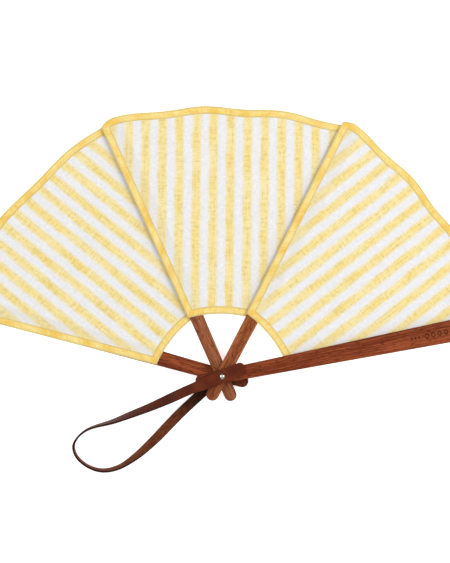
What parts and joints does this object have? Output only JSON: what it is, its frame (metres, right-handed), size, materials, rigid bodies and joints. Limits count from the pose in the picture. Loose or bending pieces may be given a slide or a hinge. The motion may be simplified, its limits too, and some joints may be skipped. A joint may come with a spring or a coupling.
{
  "type": "folding hand fan",
  "caption": "Folding hand fan: timber sticks pivot on one rivet, striped cloth panels pleat between them, and a leather loop hangs from the rivet.",
  "frame": {"origin": "on the rivet's axis, on the plane that the fan rests on", "axes": "+Z out of the fan's front, along the rivet; +Y up the open fan; +X towards the front guard"},
  "size_m": [0.553, 0.365, 0.0228],
  "materials": {
    "timber": "oiled hardwood, satin",
    "striped_cloth": "slubby linen with yellow and white stripes",
    "binding_cloth": "yellow linen hem with a row of stitches",
    "leather": "vegetable tanned, smooth side out",
    "rivet_metal": "polished nickel plate",
    "fibre_washer": "plain fibre"
  },
  "bodies": {
    "rear_guard": {"rear_guard": "timber", "rear_guard_sleeve": "binding_cloth", "rivet_shank": "rivet_metal", "rivet_head": "rivet_metal", "rivet_burr": "rivet_metal", "rear_washer": "fibre_washer", "middle_washer": "fibre_washer", "front_washer": "fibre_washer", "left_panel_rear_leaf": "striped_cloth", "left_panel_rear_binding": "binding_cloth"},
    "left_fold": {"left_panel_middle_leaf": "striped_cloth", "left_panel_middle_binding": "binding_cloth"},
    "rear_rib": {"rear_rib": "timber", "left_panel_front_leaf": "striped_cloth", "left_panel_front_binding": "binding_cloth", "middle_panel_rear_leaf": "striped_cloth", "middle_panel_rear_binding": "binding_cloth"},
    "middle_fold": {"middle_panel_middle_leaf": "striped_cloth", "middle_panel_middle_binding": "binding_cloth"},
    "front_rib": {"front_rib": "timber", "middle_panel_front_leaf": "striped_cloth", "middle_panel_front_binding": "binding_cloth", "right_panel_rear_leaf": "striped_cloth", "right_panel_rear_binding": "binding_cloth"},
    "right_fold": {"right_panel_middle_leaf": "striped_cloth", "right_panel_middle_binding": "binding_cloth"},
    "front_guard": {"front_guard": "timber", "right_panel_front_leaf": "striped_cloth", "right_panel_front_binding": "binding_cloth"},
    "strap": {"strap_front_end": "leather", "strap_back_end": "leather", "strap_loop": "leather"}
  },
  "joints": [
    {"name": "left_fold_hinge", "type": "hinge", "parent": "rear_guard", "child": "left_fold", "pos_m": [0, 0, 0.01], "axis": [0, 0, 1], "range_deg": [0, 25.55]},
    {"name": "rear_rib_hinge", "type": "hinge", "parent": "left_fold", "child": "rear_rib", "pos_m": [0, 0, 0.01], "axis": [0, 0, 1], "range_deg": [0, 25.55]},
    {"name": "middle_fold_hinge", "type": "hinge", "parent": "rear_rib", "child": "middle_fold", "pos_m": [0, 0, 0.01], "axis": [0, 0, 1], "range_deg": [0, 25.55]},
    {"name": "front_rib_hinge", "type": "hinge", "parent": "middle_fold", "child": "front_rib", "pos_m": [0, 0, 0.01], "axis": [0, 0, 1], "range_deg": [0, 25.55]},
    {"name": "right_fold_hinge", "type": "hinge", "parent": "front_rib", "child": "right_fold", "pos_m": [0, 0, 0.01], "axis": [0, 0, 1], "range_deg": [0, 25.55]},
    {"name": "front_guard_hinge", "type": "hinge", "parent": "right_fold", "child": "front_guard", "pos_m": [0, 0, 0.01], "axis": [0, 0, 1], "range_deg": [0, 25.55]},
    {"name": "strap_swivel", "type": "hinge", "parent": "rear_guard", "child": "strap", "pos_m": [0, 0, 0.01], "axis": [0, 0, 1], "range_deg": [-15, 120]}
  ],
  "couplings": [
    {"joint": "rear_rib_hinge", "follows": "left_fold_hinge", "ratio": 1},
    {"joint": "middle_fold_hinge", "follows": "left_fold_hinge", "ratio": 1},
    {"joint": "front_rib_hinge", "follows": "left_fold_hinge", "ratio": 1},
    {"joint": "right_fold_hinge", "follows": "left_fold_hinge", "ratio": 1},
    {"joint": "front_guard_hinge", "follows": "left_fold_hinge", "ratio": 1}
  ]
}
